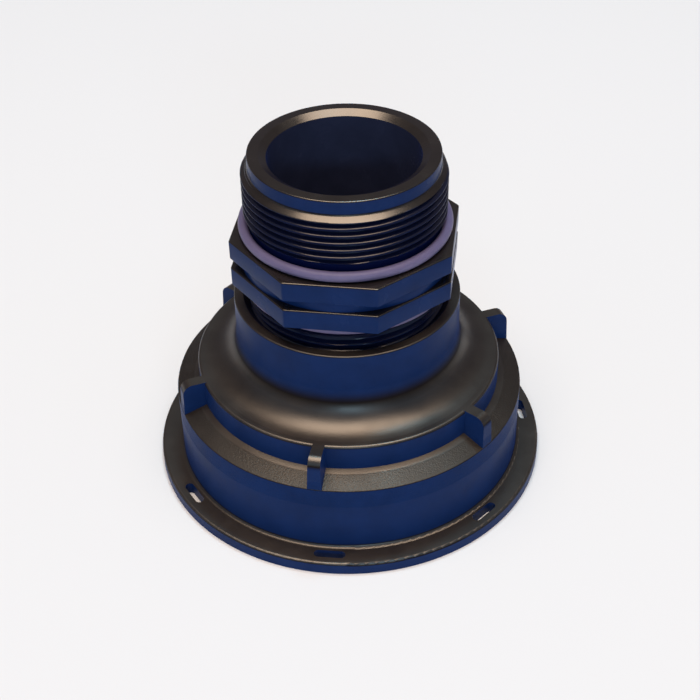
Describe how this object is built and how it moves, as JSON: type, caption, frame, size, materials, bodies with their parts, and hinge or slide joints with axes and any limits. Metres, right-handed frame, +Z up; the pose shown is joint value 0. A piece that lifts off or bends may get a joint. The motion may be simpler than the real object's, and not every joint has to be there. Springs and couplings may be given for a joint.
{
  "type": "ibc tap adapter",
  "caption": "Black plastic IBC tank adapter: a coarse-threaded cap with a slotted flange and ribs, and a two-inch threaded nipple with an octagonal collar.",
  "frame": {"origin": "centre of the cap's mouth, on the surface that the flange stands on", "axes": "+Z runs up the pipe's axis from the cap's mouth to the free end of the nipple; -Y faces the picture's camera"},
  "size_m": [0.1234, 0.1234, 0.1078],
  "materials": {
    "cap_plastic": "satin",
    "nipple_plastic": "semi-gloss",
    "ring_rubber": "satin",
    "gasket_rubber": "matte"
  },
  "bodies": {
    "cap": {"adapter_cap": "cap_plastic", "cap_gasket": "gasket_rubber"},
    "ring_seat": {"lower_o_ring": "ring_rubber"},
    "pipe": {"nipple": "nipple_plastic", "upper_o_ring": "ring_rubber"}
  },
  "joints": [
    {"name": "nipple_rise", "type": "slide", "parent": "cap", "child": "ring_seat", "axis": [0, 0, 1], "range_m": [-0.00496, 0.0166]},
    {"name": "nipple_turn", "type": "hinge", "parent": "ring_seat", "child": "pipe", "pos_m": [0, 0, 0.07615], "axis": [0, 0, 1], "range_deg": [-765, 2580]}
  ],
  "couplings": [
    {"joint": "nipple_rise", "follows": "nipple_turn", "m_per_rad": 0.00036749}
  ]
}
